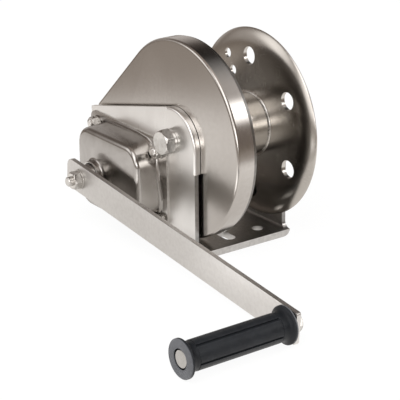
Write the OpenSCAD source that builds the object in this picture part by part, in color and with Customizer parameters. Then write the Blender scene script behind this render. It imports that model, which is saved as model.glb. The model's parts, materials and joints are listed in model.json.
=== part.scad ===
// Hand winch with a geared drum and a friction brake on the crank shaft.
// X runs along the drum axis with the crank at -X, Y along the base, Z up from the mounting face.

/* [Frame] */
// Length of the base
base_len = 200; // [196:1:230]
// Width over the two side walls
frame_w = 114; // [112:0.5:130]
// Thickness of the base
base_t = 7; // [5:0.5:8]
// Thickness of the side walls
wall_t = 4.5; // [3.5:0.25:5.5]
// Outer radius of the bends under the walls
bend_r = 8; // [6:0.5:9]
// Inner radius of the bends
bend_in_r = 3; // [2:0.5:4]
// Gap between the base and the gear cover or the drum's flanges, whichever reaches lowest
drum_lift = 4; // [3.5:0.25:8]
// Distance of the drum axis from the middle of the base, towards the crank's free end
drum_off = 51.5; // [50:0.5:53]
// Distance from the drum axis to the walls' front edge
wall_front = 40.5; // [38:0.5:43]
// Setback of the walls' rear edge from the end of the base
wall_inset = 3; // [2:0.5:6]
// Distance from the drum axis to the walls' sloping top edge
wall_top = 34.3; // [32:0.1:37]
// Slope of the walls' top edge, in degrees
wall_slope = 13.2; // [10:0.1:15]
// Corner radius at the front top of the walls
wall_corner = 38; // [34:0.5:40]
// Flare radius where a wall meets the base
flare_r = 7; // [4:0.5:8]
// Thickness of the lip round the near wall's front corner
lip_t = 3; // [2.75:0.25:4]
// Rounding of the lip's outer edge
lip_round = 2.5; // [1.5:0.25:2.5]
// Drop of the lip's end below the drum axis
lip_drop = 25; // [15:1:35]

/* [Mounting holes] */
// Radius of the mounting holes and half the width of the slots
hole_r = 6; // [5:0.5:6.5]
// End-to-end length of a slot
slot_len = 28; // [20:1:32]
// Distance between the front and rear slots
slot_pitch = 147; // [140:1:150]
// Distance between the front and rear round holes
hole_pitch = 157; // [150:1:160]
// Position of the slots across the base
slot_x = -7; // [-12:0.5:0]
// Position of the round holes across the base
hole_x = 31; // [26:0.5:34]

/* [Drum] */
// Outer radius of the barrel
barrel_r = 32.5; // [30:0.5:36]
// Wall thickness of the barrel
barrel_t = 3; // [2.5:0.25:4]
// Gap between the outer flange's rim and the crank shaft's bush
rim_clear = 4.45; // [2:0.05:10]
// Gap between the inner flange's rim and the ring on the crank shaft
inner_clear = 2.4; // [1:0.05:5]
// Thickness of the flanges
flange_t = 3; // [2:0.25:3.5]
// Depth of the outer flange's flared rim
dish_depth = 4; // [2.5:0.25:6]
// Width of the flared rim
dish_w = 12; // [10:0.5:15]
// Gap between the rim and the far wall
rim_gap = 3.7; // [3:0.1:6]
// Number of holes in the outer flange
flange_holes = 6; // [3:1:6]
// Radius of those holes
flange_hole_r = 9.2; // [7:0.2:10]
// Radius of the circle that they lie on
flange_hole_pcr = 70.5; // [66:0.5:74]
// Radius of the two holes for the rope's clamp
rope_hole_r = 5; // [4:0.25:5.5]
// Distance of the inner rope hole from the axis
rope_hole_in = 57.5; // [54:0.5:60]
// Distance of the outer rope hole from the axis
rope_hole_out = 76; // [72:0.5:78]
// Length of the hubs welded into the barrel
drum_hub_t = 12; // [10:0.5:16]

/* [Axle] */
// Radius of the axle bolt
axle_r = 8; // [6:0.5:9]
// Width across flats of the axle bolt's head and nut
axle_flats = 24; // [22:0.5:26]
// Height of the head
axle_head_t = 10; // [8:0.5:12]
// Height of the nut
axle_nut_t = 13; // [10:0.5:14]
// Thickness of the washers
axle_washer_t = 3; // [2:0.25:4]
// Outer radius of the spring washers
axle_washer_r = 12.25; // [11.5:0.25:15]
// Outer radius of the sleeve that the drum turns on
sleeve_r = 12; // [11:0.25:12.5]
// Wall of the drum's bushes
drum_bush_t = 3; // [2:0.25:3.25]
// Length of each drum bush
drum_bush_len = 20; // [14:0.5:22]

/* [Gears] */
// Module of the teeth
gear_mod = 3; // [2.9:0.01:3.02]
// Teeth on the drum gear
gear_teeth = 62; // [61:1:62]
// Teeth on the pinion
pinion_teeth = 15; // [15:1:16]
// Face width of the drum gear
gear_t = 12; // [8:0.5:13]
// Length of the pinion
pinion_t = 12.5; // [9:0.5:14]
// Backlash at the pitch circle
backlash = 0.4; // [0.3:0.02:0.6]
// Angle of the line of centres below the horizontal
mesh_drop = 30.5; // [29.5:0.1:31.5]
// Lightening holes in the drum gear
web_holes = 6; // [3:1:6]
// Radius of the lightening holes
web_hole_r = 12; // [8:0.5:12]
// Radius of the circle that they lie on
web_hole_pcr = 64; // [62:0.5:66]
// Thickness of the gear's web
web_t = 7; // [5:0.5:7.5]

/* [Gear cover] */
// Gap between the drum gear's teeth and the cover
gear_gap = 4.24; // [3:0.01:6]
// Depth of the cover's rim
cover_depth = 19.5; // [19:0.25:22]
// Gap between the near wall and the cover
cover_gap = 3; // [2.75:0.25:4]
// Sheet thickness of the two covers
sheet_t = 1.5; // [1:0.1:2]
// Rounding of the covers' front edge
cover_round = 3; // [2.5:0.25:4]
// Slope of the cover's straight side, in degrees
cover_slope = 42.5; // [41:0.25:44]
// Distance from the drum axis to the cover's rear side
cover_reach = 149.5; // [148:0.25:150]
// Radius of the cover's rear top corner
cover_top_r = 8; // [6:0.5:12]
// Radius of the cover's rear bottom corner
cover_low_r = 20; // [14:0.5:26]

/* [Brake cover] */
// Height of the brake cover over the near wall
box_depth = 28; // [28:0.25:30]
// Gap between the ratchet and the rear of the brake cover
brake_gap = 1; // [0.75:0.05:3]
// Gap between the ratchet and the bottom of the brake cover
brake_gap_low = 1.9; // [1:0.1:4]
// Gap between the axle bolt's head and the washers of the nearest studs
stud_gap = 1.57; // [1:0.01:3]
// Drop of the brake cover's top edge below the drum axis
plate_drop = 3; // [2:0.25:4]
// Corner radius of the flange
plate_corner = 8; // [5:0.5:10]
// Radius of the box's corners at its foot
foot_r = 26; // [24:0.5:28]
// Radius of the box's corners at its front
front_r = 21; // [18:0.5:22]
// Inset of the box's front from the flange's sides
front_inset = 16; // [14:0.5:16]
// Inset of the box's front from the flange's top and bottom edges
front_drop = 11; // [9:0.5:11]
// Rounding of the box's front edge
box_round = 7; // [5:0.5:8]
// Outer radius of the neck round the crank hub
neck_r = 18; // [17:0.25:20]
// Length of the neck
neck_len = 6; // [5:0.25:7]
// Radius of the cover studs
stud_r = 4; // [3:0.25:4]
// Radius of the washers under the cover nuts
stud_washer_r = 8; // [7:0.25:8.5]
// Inset of the studs from the flange's edges
stud_inset = 12; // [11.5:0.25:12.5]
// Width across flats of the cover nuts
stud_flats = 13; // [10:0.5:13]

/* [Crank shaft and brake] */
// Radius of the crank shaft in its bushes
shaft_r = 10; // [9:0.25:10.25]
// Wall of the crank shaft's bushes
shaft_bush_t = 3; // [2:0.25:3.5]
// Radius of the brake flanges
brake_r = 28; // [24:0.5:28.5]
// Thickness of the fixed brake flange
brake_flange_t = 4; // [3:0.25:4.5]
// Thickness of each friction disc
friction_t = 3; // [2:0.25:3.25]
// Thickness of the ratchet wheel
ratchet_t = 7; // [5:0.5:7.5]
// Radius over the ratchet's teeth
ratchet_r = 30; // [29:0.25:30.5]
// Depth of the ratchet's teeth
ratchet_depth = 4.5; // [3.5:0.25:5]
// Number of ratchet teeth
ratchet_teeth = 12; // [10:1:12]
// Thickness of the pressure flange on the crank hub
pressure_t = 5; // [4:0.25:5.5]
// Radius of the crank hub
hub_r = 13.5; // [13:0.25:14.5]
// Radius of the pawl's pin
pawl_pin_r = 3; // [2.5:0.25:3.5]

/* [Crank] */
// Width of the crank's flat bar
arm_w = 32; // [28:0.5:32]
// Thickness of the crank's flat bar
arm_t = 5; // [4:0.25:6]
// Distance from the shaft to the grip
arm_len = 347; // [250:1:347]
// Overhang of the bar beyond the shaft
arm_tail = 25; // [18:0.5:28]
// Overhang of the bar beyond the grip
arm_nose = 12; // [9:0.5:13]
// Gap between the brake cover's neck and the bar
arm_gap = 8.5; // [6:0.25:10]
// Angle of the crank below the horizontal, as it lies at rest
arm_drop = 5.8; // [0:0.1:5.8]
// Radius of the stud at the shaft's end
stud_end_r = 5; // [4:0.25:6]
// Width across flats of the crank nut
crank_flats = 17; // [14:0.5:19]
// Height of the crank nut
crank_nut_t = 8; // [6:0.5:10]

/* [Grip] */
// Length of the grip
grip_len = 113; // [90:1:130]
// Radius of the grip's body
grip_r = 13.8; // [12.5:0.1:15]
// Radius of the grip's end flanges
grip_flange_r = 18; // [16:0.25:18.2]
// Radius of the grip's pin
grip_pin_r = 6; // [5:0.25:6.5]
// Radius of the pin's head
grip_head_r = 8.3; // [7.8:0.1:8.8]
// Number of raised panels round the grip
grip_panels = 5; // [3:1:6]
// Height of the raised panels
panel_h = 1.2; // [0.6:0.1:1.6]

/* [Hidden] */
$fn = 96;

// Clearances: running fits, loose holes and faces that pass each other
run = 0.05;
loose = 0.4;
pass = 0.5;
// Overlap of shapes that make one solid, and overrun of cuts
eps = 0.02;
cut = 1;

// Places along X
near_out = -frame_w / 2;
near_in = near_out + wall_t;
far_out = frame_w / 2;
far_in = far_out - wall_t;
cover_front = near_in + cover_gap;
cover_rear = cover_front + cover_depth;
inner_flange_x = cover_rear + pass;
gear_x = inner_flange_x - gear_t;
barrel_x = inner_flange_x + flange_t;
disc_out = far_in - rim_gap - dish_depth;
disc_in = disc_out - flange_t;
plate_x = near_out - sheet_t;
box_front = near_out - box_depth;
neck_front = box_front - neck_len;
arm_in = neck_front - arm_gap;
arm_out = arm_in - arm_t;

// The gear's tips and the cover round them
tip_share = 0.92;
gear_tip_r = gear_mod * (gear_teeth / 2 + tip_share);
cover_r = gear_tip_r + gear_gap + sheet_t;
pressure_angle = 20;

// The drum's flanges stay clear of what sits on the crank shaft
mesh_dist = gear_mod * (gear_teeth + pinion_teeth) / 2;
shaft_bush_out = shaft_r + run + shaft_bush_t;
shaft_ring_r = shaft_r + 2.6;
rim_r = mesh_dist - shaft_bush_out - rim_clear;
inner_flange_r = mesh_dist - shaft_ring_r - inner_clear;

// The drum axis and the crank shaft's axis in Y and Z
drum_y = -drum_off;
drum_h = base_t + drum_lift + max(cover_r, rim_r, inner_flange_r);
shaft_y = drum_y + mesh_dist * cos(mesh_drop);
shaft_z = drum_h - mesh_dist * sin(mesh_drop);

// Edges of the walls
wall_y0 = drum_y - wall_front;
wall_y1 = base_len / 2 - wall_inset;
corner_y = wall_y0 + wall_corner;
corner_z = top_z(corner_y) - wall_corner / cos(wall_slope);
tangent_y = corner_y + wall_corner * sin(wall_slope);
tangent_z = corner_z + wall_corner * cos(wall_slope);
lip_end_x = cover_front - pass;

// The covers and their studs
cover_y1 = drum_y + cover_reach;
brake_reach = max(ratchet_r, brake_r);
plate_y1 = shaft_y + brake_reach + brake_gap + sheet_t + front_inset;
plate_z1 = drum_h - plate_drop;
plate_z0 = shaft_z - brake_reach - brake_gap_low - sheet_t - front_drop;
stud_away = max(axle_washer_r, axle_flats / sqrt(3)) + stud_washer_r + stud_gap;
stud_y0 = drum_y + sqrt(pow(stud_away, 2) - pow(plate_drop + stud_inset, 2));
plate_y0 = stud_y0 - stud_inset;
stud_y = [stud_y0, plate_y1 - stud_inset];
stud_z = [plate_z0 + stud_inset, plate_z1 - stud_inset];
stud_head_r = stud_r + 1.2;
stud_spacer_r = stud_r + 3;
stud_head_t = 2.5;
stud_washer_t = 1.6;
stud_nut_t = 6.5;
stud_seat_x = plate_x - stud_washer_t;
stud_tip = stud_seat_x - stud_nut_t - 2;
foot_reach = foot_r + stud_flats / sqrt(3) + 0.8;
foot_angle = 30;
foot_angle_low = 48;

// Bores and rings round the axle and the crank shaft
sleeve_bore = axle_r + 0.1;
bush_out = sleeve_r + run + drum_bush_t;
drum_bore = bush_out + run;
spacer_r = bush_out - 0.1;
shaft_bush_flange = shaft_bush_out + 2.5;
shaft_bush_len = 6.5;
pinion_x1 = inner_flange_x - pass;
pinion_x0 = pinion_x1 - pinion_t;
shaft_ring_t = 1.4;
shaft_groove_r = shaft_r - 0.9;
ring_places = [pinion_x1 + run, far_out + run];
shaft_end = far_out + 6;
key_w = 6;
rivet_r = 3.5;
rivet_pcr = 42;
hole_phase = 88.4;
rope_hole_at = 60;

// The stack on the crank shaft, from the near wall outwards
thrust_t = 1;
thrust_r = shaft_r + 10;
brake_x = near_out - thrust_t;
brake_face = brake_x - brake_flange_t;
ratchet_x = brake_face - friction_t;
disc_x = ratchet_x - ratchet_t;
pressure_x = disc_x - friction_t;
boss_r = shaft_r + 3;
boss_end = pressure_x + pass;
ratchet_root = ratchet_r - ratchet_depth;
hub_square = 14;
crank_washer_r = 10.5;
crank_washer_t = 2;
crank_seat_x = arm_out - crank_washer_t;
crank_tip = crank_seat_x - crank_nut_t - 5;

// The pawl, placed by angles round the shaft as seen from +X
tooth_at = 190;
pawl_lead = 47;
pawl_pivot_r = ratchet_r + 14;
pawl_y = shaft_y + pawl_pivot_r * cos(tooth_at - pawl_lead);
pawl_z = shaft_z + pawl_pivot_r * sin(tooth_at - pawl_lead);
pawl_x0 = ratchet_x - pass;
pawl_x1 = disc_x + pass;
pawl_eye_r = pawl_pin_r + 3.6;
pawl_boss_r = pawl_pin_r + 2;
spring_wire = 0.6;
spring_turns = 4;
spring_r = pawl_boss_r + spring_wire + 0.3;
spring_x0 = near_out - spring_wire - 0.3;
spring_pitch = 2 * spring_wire;
spring_x1 = spring_x0 - (spring_turns - 1) * spring_pitch;

// The grip at the end of the arm
pin_y = shaft_y - arm_len * cos(arm_drop);
pin_z = shaft_z - arm_len * sin(arm_drop);
grip_washer_t = 1;
grip_nut_t = 6;
grip_nut_flats = 18;
grip_x0 = arm_out - grip_washer_t;
grip_x1 = grip_x0 - grip_len;
pin_head_x = grip_x1 + pass;
pin_head_t = 3.5;
recess = 5;
recess_r = grip_head_r + 1.2;
grip_sleeve_r = grip_pin_r + 2;
grip_core_r = grip_r - panel_h;
panel_start = 12;
panel_end = grip_len - 11;
panel_angle = 0.855 * 360 / grip_panels;
panel_at = 247;

steel = "silver";
bright = "gainsboro";
bronze = "tan";
dark = "darkgray";

function top_z(y) = drum_h + (wall_top - sin(wall_slope) * (y - drum_y)) / cos(wall_slope);
function polar(r, a) = [r * cos(a), r * sin(a)];
function involute(a) = (tan(a) - a * PI / 180) * 180 / PI;

// Half the angle of a tooth at radius r, on an involute
function half_tooth(teeth, r) =
    let (pitch = gear_mod * teeth / 2, base = pitch * cos(pressure_angle), at = max(r, base * 1.0005))
    90 / teeth - backlash / (2 * pitch) * 90 / PI + involute(pressure_angle) - involute(acos(base / at));

function tooth_points(teeth, radii) =
    [for (i = [0:teeth - 1]) each concat(
        [for (r = radii) polar(r, i * 360 / teeth - half_tooth(teeth, r))],
        [for (k = [len(radii) - 1:-1:0]) polar(radii[k], i * 360 / teeth + half_tooth(teeth, radii[k]))])];

// Extrudes an outline drawn in Y and Z from x0 to x1
module along_x(x0, x1) {
    translate([min(x0, x1), 0, 0]) rotate([90, 0, 90]) linear_extrude(abs(x1 - x0)) children();
}

module rod(x0, x1, r, y, z) {
    translate([min(x0, x1), y, z]) rotate([0, 90, 0]) cylinder(h = abs(x1 - x0), r = r);
}

module tube(x0, x1, r_out, r_in, y, z) {
    difference() {
        rod(x0, x1, r_out, y, z);
        rod(min(x0, x1) - cut, max(x0, x1) + cut, r_in, y, z);
    }
}

// Turns a profile of [x, radius] points about an axis along X
module turned(points, y, z) {
    translate([0, y, z]) rotate([0, 90, 0]) rotate_extrude() polygon([for (p = points) [p[1], p[0]]]);
}

// A disc from x0 to x1 with its edge rounded at x0
module soft_disc(y, z, r, x0, x1, soft) {
    turned(concat([[x0, 0]], [for (a = [0:22.5:90]) [x0 + soft * (1 - cos(a)), r - soft * (1 - sin(a))]],
        [[x1, r], [x1, 0]]), y, z);
}

// A hexagon with chamfered corners on the side away from its seat at x0
module hexagon(x0, x1, flats, y, z, turn = 0) {
    corner = flats / sqrt(3);
    translate([0, y, z]) rotate([turn, 0, 0]) intersection() {
        along_x(x0, x1) circle(corner, $fn = 6);
        turned([[x0, 0], [x0, corner + 1], [x1 - sign(x1 - x0) * corner * 0.2, corner + run],
            [x1, corner * 0.84], [x1, 0]], 0, 0);
    }
}

module nut(x0, x1, flats, r, y, z, turn = 0) {
    difference() {
        hexagon(x0, x1, flats, y, z, turn);
        rod(min(x0, x1) - cut, max(x0, x1) + cut, r, y, z);
    }
}

module round_rect(w, h, r) {
    translate([r, 0]) square([w - 2 * r, h]);
    translate([0, r]) square([w, h - 2 * r]);
    for (i = [r, w - r], j = [r, h - r]) translate([i, j]) circle(r);
}

module at_studs() {
    for (y = stud_y, z = stud_z) translate([0, y, z]) children();
}

module at_rivets() {
    translate([0, drum_y, drum_h]) for (i = [0:5]) rotate([30 + i * 60, 0, 0])
        translate([0, rivet_pcr, 0]) children();
}

// Frame whose x runs along the arm from the shaft and whose z is the model's X
module on_arm() {
    translate([0, shaft_y, shaft_z]) rotate([90, 0, 90]) rotate(180 + arm_drop) children();
}

// Side view of a wall with the base under it
module side_outline() {
    polygon([[wall_y0, 0], [wall_y0, corner_z], [corner_y, corner_z], [tangent_y, tangent_z],
        [wall_y1, top_z(wall_y1)], [wall_y1, 0]]);
    translate([corner_y, corner_z]) circle(wall_corner);
    translate([-base_len / 2, 0]) square([base_len, base_t]);
    difference() {
        translate([wall_y0 - flare_r, base_t - eps]) square([flare_r + eps, flare_r + eps]);
        translate([wall_y0 - flare_r, base_t + flare_r]) circle(flare_r);
    }
}

// End view of the bent sheet
module end_outline() {
    difference() {
        union() {
            translate([near_out, bend_r]) square([frame_w, 2 * drum_h]);
            translate([near_out + bend_r, 0]) square([frame_w - 2 * bend_r, bend_r + cut]);
            for (s = [-1, 1]) translate([s * (far_out - bend_r), bend_r]) circle(bend_r);
        }
        translate([near_in, base_t + bend_in_r]) square([far_in - near_in, 2 * drum_h]);
        translate([near_in + bend_in_r, base_t]) square([far_in - near_in - 2 * bend_in_r, bend_in_r + cut]);
        for (s = [-1, 1]) translate([s * (far_in - bend_in_r), base_t + bend_in_r]) circle(bend_in_r);
    }
}

// Sweeps a profile of radius and X round the near wall's front corner
module lip_arc() {
    translate([0, corner_y, corner_z]) rotate([0, 90, 0]) rotate([0, 0, 180 - wall_slope])
        rotate_extrude(angle = 90 + wall_slope) children();
}

// Runs the same profile down the wall's front edge
module lip_straight(over) {
    translate([0, corner_y, drum_h - lip_drop]) linear_extrude(corner_z - drum_h + lip_drop + over)
        rotate(-90) children();
}

// The lip's section, a hair inside the wall's edge so that the two never share a curved face
module lip_section(thin) {
    translate([wall_corner - lip_t + thin, near_in - cut])
        square([lip_t - 4 * eps - 2 * thin, lip_end_x - near_in + cut - thin]);
}

// The cut that rounds the wall's outer edge along the lip, in four steps
module lip_rounding(thin) {
    rim = wall_corner + cut;
    translate([thin, -thin]) polygon(concat(
        [[rim, near_out + lip_round], [rim, near_out - cut], [wall_corner - lip_round, near_out - cut]],
        [for (a = [-90:22.5:0])
            [wall_corner + lip_round * (cos(a) - 1), near_out + lip_round * (sin(a) + 1)]]));
}

module mount_holes() {
    for (s = [-1, 1]) {
        translate([slot_x, s * slot_pitch / 2, -cut]) linear_extrude(base_t + 2 * cut) {
            square([2 * hole_r, slot_len - 2 * hole_r], center = true);
            for (e = [-1, 1]) translate([0, e * (slot_len / 2 - hole_r)]) circle(hole_r);
        }
        translate([hole_x, s * hole_pitch / 2, -cut]) cylinder(h = base_t + 2 * cut, r = hole_r);
    }
}

module frame() color(bright) difference() {
    union() {
        intersection() {
            along_x(near_out, far_out) side_outline();
            translate([0, base_len / 2, 0]) rotate([90, 0, 0]) linear_extrude(base_len) end_outline();
        }
        lip_arc() lip_section(0);
        lip_straight(cut) lip_section(2 * eps);
    }
    lip_arc() lip_rounding(0);
    lip_straight(cut) lip_rounding(2 * eps);
    mount_holes();
    rod(near_out - cut, far_out + cut, axle_r + run, drum_y, drum_h);
    rod(near_out - cut, far_out + cut, shaft_bush_out + run, shaft_y, shaft_z);
    at_studs() rod(near_out - cut, near_in + cut, stud_r + run, 0, 0);
    rod(near_out - cut, near_in + cut, pawl_pin_r + run, pawl_y, pawl_z);
}

module gear_cover_block(inset, x0, x1, soft) {
    top_y = cover_y1 - cover_top_r;
    top_rise = (cover_r - cover_top_r - sin(cover_slope) * (top_y - drum_y)) / cos(cover_slope);
    hull() {
        soft_disc(drum_y, drum_h, cover_r - inset, x0, x1, soft, $fn = 120);
        soft_disc(top_y, drum_h + top_rise, cover_top_r - inset, x0, x1, soft, $fn = 32);
        soft_disc(cover_y1 - cover_low_r, drum_h - cover_r + cover_low_r, cover_low_r - inset, x0, x1, soft,
            $fn = 40);
    }
}

module gear_cover() color(steel) difference() {
    gear_cover_block(0, cover_front, cover_rear, cover_round);
    gear_cover_block(sheet_t, cover_front + sheet_t, cover_rear + cut, cover_round - sheet_t);
    rod(cover_front - cut, cover_front + sheet_t + cut, spacer_r + loose, drum_y, drum_h);
    rod(cover_front - cut, cover_front + sheet_t + cut, shaft_bush_flange + loose, shaft_y, shaft_z);
    at_studs() rod(cover_front - cut, cover_front + sheet_t + cut, stud_r + run, 0, 0);
}

// The drawn box, whose corners stand clear of the cover nuts at the foot
module box_block(inset, x0, x1, soft) {
    hull() {
        for (s = [0, 1], t = [0, 1]) {
            a = s == 0 && t == 0 ? foot_angle_low : foot_angle;
            translate([x1 - sheet_t, stud_y[s] + (1 - 2 * s) * foot_reach * cos(a),
                stud_z[t] + (1 - 2 * t) * foot_reach * sin(a)])
                rotate([0, 90, 0]) cylinder(h = sheet_t, r = foot_r - inset, $fn = 40);
        }
        for (y = [plate_y0 + front_inset + front_r, plate_y1 - front_inset - front_r],
            z = [plate_z0 + front_drop + front_r, plate_z1 - front_drop - front_r])
            soft_disc(y, z, front_r - inset, x0, x0 + soft + cut, soft, $fn = 40);
    }
}

module brake_cover() color(steel) difference() {
    union() {
        difference() {
            union() {
                translate([0, plate_y0, plate_z0]) along_x(plate_x, near_out)
                    round_rect(plate_y1 - plate_y0, plate_z1 - plate_z0, plate_corner);
                box_block(0, box_front, plate_x + eps, box_round);
            }
            box_block(sheet_t, box_front + sheet_t, near_out + cut, box_round - sheet_t);
        }
        turned([[box_front + sheet_t, hub_r], [box_front + sheet_t, neck_r + 4], [box_front, neck_r + 4],
            [box_front - 1.2, neck_r + 1.4], [box_front - 3, neck_r], [neck_front + 1, neck_r],
            [neck_front, neck_r - 1], [neck_front, hub_r]], shaft_y, shaft_z);
    }
    rod(neck_front - cut, box_front + sheet_t + cut, hub_r + 1, shaft_y, shaft_z);
    rod(plate_x - cut, near_out + cut, axle_washer_r + pass, drum_y, drum_h);
    at_studs() rod(plate_x - cut, near_out + cut, stud_r + run, 0, 0);
}

module cover_studs() color(bright) at_studs() {
    rod(cover_front + sheet_t, cover_front + sheet_t + stud_head_t, stud_head_r, 0, 0);
    turned([[cover_front + 2 * sheet_t, 0], [cover_front + 2 * sheet_t, stud_r], [stud_tip + 0.6, stud_r],
        [stud_tip, stud_r - 0.8], [stud_tip, 0]], 0, 0);
}

module cover_spacers() color(steel)
    at_studs() tube(near_in, cover_front, stud_spacer_r, stud_r + run, 0, 0);

module cover_washers() color(bright)
    at_studs() tube(stud_seat_x, plate_x, stud_washer_r, stud_r + run, 0, 0);

module cover_nuts() color(bright) at_studs()
    nut(stud_seat_x, stud_seat_x - stud_nut_t, stud_flats, stud_r + run, 0, 0);

module axle_bolt() color(bright) {
    hexagon(near_out - axle_washer_t, near_out - axle_washer_t - axle_head_t, axle_flats, drum_y, drum_h,
        30);
    rod(near_out - axle_washer_t - cut, far_out + axle_washer_t + axle_nut_t + 3, axle_r, drum_y, drum_h);
}

module axle_washers() color(bright) for (x = [near_out - axle_washer_t, far_out])
    tube(x, x + axle_washer_t, axle_washer_r, axle_r + run, drum_y, drum_h);

module axle_nut() color(bright) {
    seat = far_out + axle_washer_t;
    nut(seat, seat + axle_nut_t, axle_flats, axle_r + run, drum_y, drum_h, 30);
}

module axle_sleeve() color(steel) tube(near_in, far_in, sleeve_r, sleeve_bore, drum_y, drum_h);

module drum_spacers() color(steel) {
    tube(near_in, gear_x - loose, spacer_r, sleeve_r + run, drum_y, drum_h);
    tube(disc_out + loose, far_in, spacer_r, sleeve_r + run, drum_y, drum_h);
}

module shaft_bush(wall_in, wall_out) {
    way = sign(wall_in - wall_out);
    tube(wall_out, wall_in + way * shaft_bush_len, shaft_bush_out, shaft_r + run, shaft_y, shaft_z);
    tube(wall_in, wall_in + way * 2, shaft_bush_flange, shaft_r + run, shaft_y, shaft_z);
}

module shaft_bush_near() color(bronze) shaft_bush(near_in, near_out);

module shaft_bush_far() color(bronze) shaft_bush(far_in, far_out);

module thrust_washer() color(bronze)
    tube(brake_x, near_out, thrust_r, shaft_r + run, shaft_y, shaft_z);

module pawl_pin() color(bright) {
    rod(near_in, near_in + 1.5, pawl_boss_r, pawl_y, pawl_z);
    rod(near_in + eps, pawl_x1 - 3, pawl_pin_r, pawl_y, pawl_z);
    rod(near_out, pawl_x0 + pass, pawl_boss_r, pawl_y, pawl_z);
}

module pawl_pin_ring() color(bright)
    tube(pawl_x1 - 1.5, pawl_x1 - pass, pawl_boss_r, pawl_pin_r + run, pawl_y, pawl_z);

// A closed coil round the pin's shoulder, with a leg at each end
module pawl_spring() color("dimgray") {
    turned(concat([[spring_x0 + spring_wire, spring_r]],
        [for (i = [0:spring_turns - 1], a = [45, 90, 135, 180]) if (a < 180 || i < spring_turns - 1)
            [spring_x0 - i * spring_pitch + spring_wire * cos(a), spring_r + spring_wire * sin(a)]],
        [[spring_x1 - spring_wire, spring_r], [spring_x1 - spring_wire, spring_r - spring_wire],
        [spring_x0 + spring_wire, spring_r - spring_wire]]), pawl_y, pawl_z);
    for (s = [[spring_x0, 0], [spring_x1, -2 * spring_r - 1]])
        translate([s[0], pawl_y - spring_r, pawl_z + s[1]])
            cylinder(h = 2 * spring_r + 1, r = spring_wire * 0.85, $fn = 16);
}

module drum_barrel() color(steel) turned([[barrel_x, drum_bore], [barrel_x, barrel_r], [disc_in, barrel_r],
    [disc_in, drum_bore], [disc_in - drum_hub_t, drum_bore], [disc_in - drum_hub_t, barrel_r - barrel_t],
    [barrel_x + drum_hub_t, barrel_r - barrel_t], [barrel_x + drum_hub_t, drum_bore]], drum_y, drum_h);

module drum_flange_inner() color(steel) difference() {
    tube(inner_flange_x, barrel_x, inner_flange_r, drum_bore, drum_y, drum_h);
    at_rivets() rod(inner_flange_x - cut, barrel_x + cut, rivet_r + run, 0, 0);
}

// The outer flange, flared away from the rope towards its rim
module drum_flange_outer() color(steel) difference() {
    turned(concat([[disc_in, drum_bore]],
        [for (t = [0:0.2:1]) [disc_in + dish_depth * t * t, rim_r - dish_w * (1 - t)]],
        [for (t = [1:-0.2:0]) [disc_out + dish_depth * t * t, rim_r - dish_w * (1 - t)]],
        [[disc_out, drum_bore]]), drum_y, drum_h, $fn = 160);
    translate([0, drum_y, drum_h]) {
        for (i = [0:flange_holes - 1]) rotate([hole_phase + i * 360 / flange_holes, 0, 0])
            rod(disc_in - cut, disc_out + cut, flange_hole_r, flange_hole_pcr, 0);
        for (r = [rope_hole_in, rope_hole_out]) rotate([rope_hole_at, 0, 0])
            rod(disc_in - cut, disc_out + cut, rope_hole_r, r, 0);
    }
}

module drum_gear() color(dark) difference() {
    translate([0, drum_y, drum_h]) rotate([-mesh_drop, 0, 0]) along_x(gear_x, inner_flange_x)
        polygon(tooth_points(gear_teeth,
            [for (d = [-1.25, -0.8, -0.4, 0, 0.4, 0.7, tip_share]) gear_mod * (gear_teeth / 2 + d)]));
    rod(gear_x - cut, inner_flange_x + cut, drum_bore, drum_y, drum_h);
    tube(gear_x - cut, inner_flange_x - web_t, gear_mod * (gear_teeth / 2 - 4), drum_bore + 9,
        drum_y, drum_h);
    translate([0, drum_y, drum_h]) for (i = [0:web_holes - 1]) rotate([i * 360 / web_holes, 0, 0])
        rod(gear_x - cut, inner_flange_x + cut, web_hole_r, web_hole_pcr, 0);
    at_rivets() rod(gear_x - cut, inner_flange_x + cut, rivet_r + run, 0, 0);
}

module gear_rivets() color(bright) at_rivets() {
    rod(inner_flange_x - web_t - 2.2, inner_flange_x - web_t, rivet_r + 2.5, 0, 0);
    rod(inner_flange_x - web_t - eps, barrel_x, rivet_r, 0, 0);
}

module drum_bushes() color(bronze) {
    tube(gear_x, gear_x + drum_bush_len, bush_out, sleeve_r + run, drum_y, drum_h);
    tube(disc_out - drum_bush_len, disc_out, bush_out, sleeve_r + run, drum_y, drum_h);
}

module crank_shaft() color(bright) difference() {
    union() {
        rod(arm_in + 2, shaft_end, shaft_r, shaft_y, shaft_z);
        turned([[arm_in + 3, 0], [arm_in + 3, stud_end_r], [crank_tip + 1, stud_end_r],
            [crank_tip, stud_end_r - 1], [crank_tip, 0]], shaft_y, shaft_z);
    }
    for (x = ring_places) tube(x, x + shaft_ring_t, shaft_r + cut, shaft_groove_r, shaft_y, shaft_z);
    key_box(0);
}

// The key, smaller than its seat by the gap all round
module key_box(gap) {
    translate([pinion_x0 + gap, shaft_y, shaft_z]) rotate([180 - mesh_drop, 0, 0])
        translate([0, -key_w / 2 + gap, shaft_r - key_w / 2 + gap])
        cube([pinion_t - 2 * gap, key_w - 2 * gap, key_w - 2 * gap]);
}

module pinion() color(dark) difference() {
    translate([0, shaft_y, shaft_z]) rotate([180 - mesh_drop + 180 / pinion_teeth, 0, 0])
        along_x(pinion_x0, pinion_x1) polygon(tooth_points(pinion_teeth,
            [for (d = [-1.25, -0.9, -0.5, -0.2, 0.1, 0.4, 0.7, tip_share])
                gear_mod * (pinion_teeth / 2 + d)]));
    rod(pinion_x0 - cut, pinion_x1 + cut, shaft_r + run, shaft_y, shaft_z);
    key_box(-eps);
}

module pinion_key() color("dimgray") key_box(run);

module pinion_spacer() color(steel)
    tube(near_in + shaft_bush_len + run, pinion_x0 - run, shaft_bush_out, shaft_r + run, shaft_y, shaft_z);

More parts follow.
